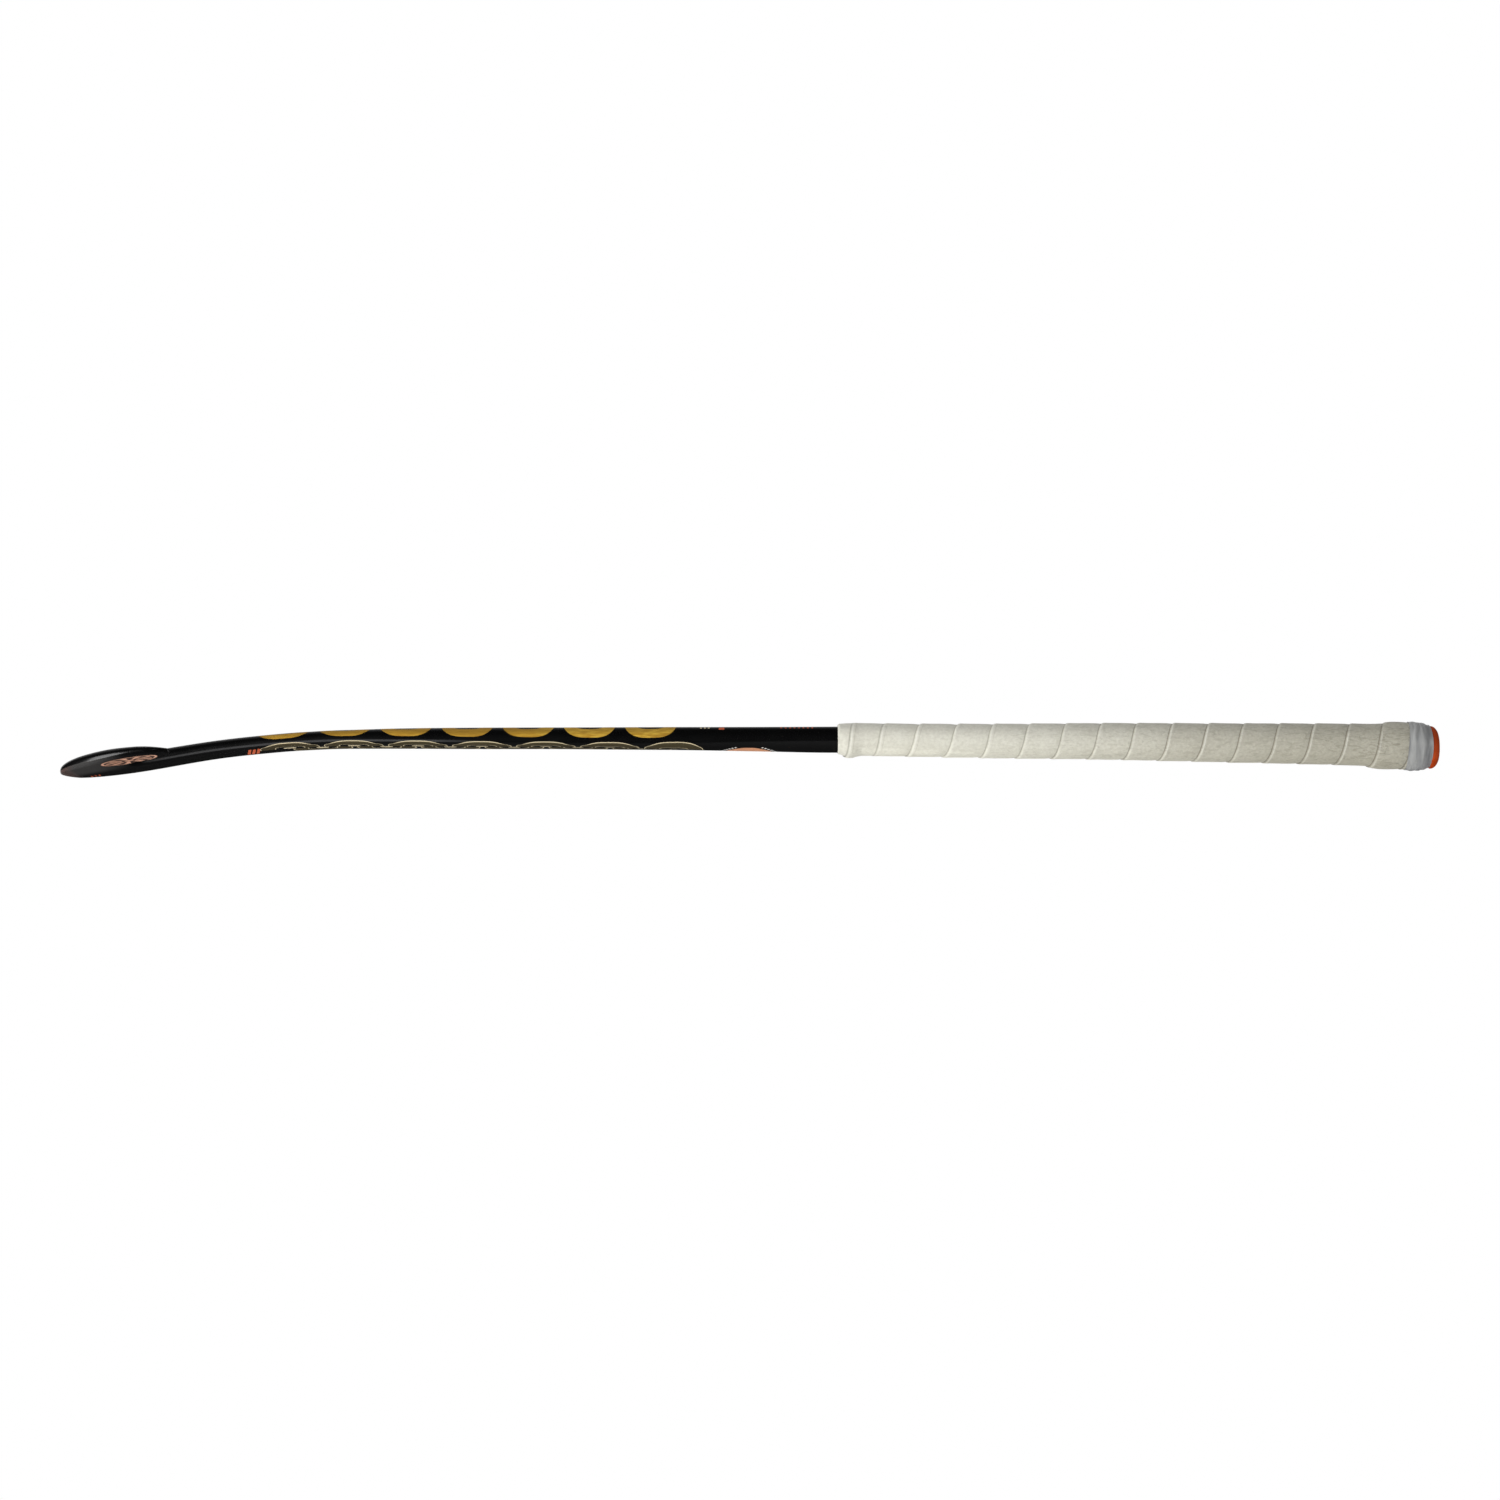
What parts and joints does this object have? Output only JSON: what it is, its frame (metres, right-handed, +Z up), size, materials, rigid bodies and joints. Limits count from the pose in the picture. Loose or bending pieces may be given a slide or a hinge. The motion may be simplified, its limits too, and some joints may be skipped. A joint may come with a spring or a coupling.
{
  "type": "indoor hockey stick",
  "caption": "Indoor hockey stick: black laminate shaft with a low bow, flat playing face and hooked head, pale wound grip and orange butt cap.",
  "frame": {"origin": "on the ground, under the middle of the stick's bounding box, with the stick lying on its playing face", "axes": "+X along the stick towards the butt, +Z up from the playing face towards the rounded back, and the hook turns towards -Y"},
  "size_m": [0.927, 0.108, 0.0345],
  "materials": {
    "lacquered_laminate": "black lacquer over carbon and glass laminate",
    "raw_laminate": "unpainted laminate",
    "core_foam": "rigid foam",
    "grip_chamois": "matt, off-white chamois",
    "finishing_vinyl": "glossy grey stretch tape, slightly wrinkled",
    "cap_rubber": "satin orange moulded rubber"
  },
  "bodies": {
    "root": {"stick_shell": "lacquered_laminate", "head_core": "core_foam", "inner_tube_heel_side": "raw_laminate", "inner_tube_toe_side": "raw_laminate", "handle_plug": "core_foam", "handle_sleeve": "core_foam", "butt_collar": "core_foam", "grip_tape": "grip_chamois", "finishing_tape": "finishing_vinyl", "butt_cap": "cap_rubber"}
  },
  "joints": []
}
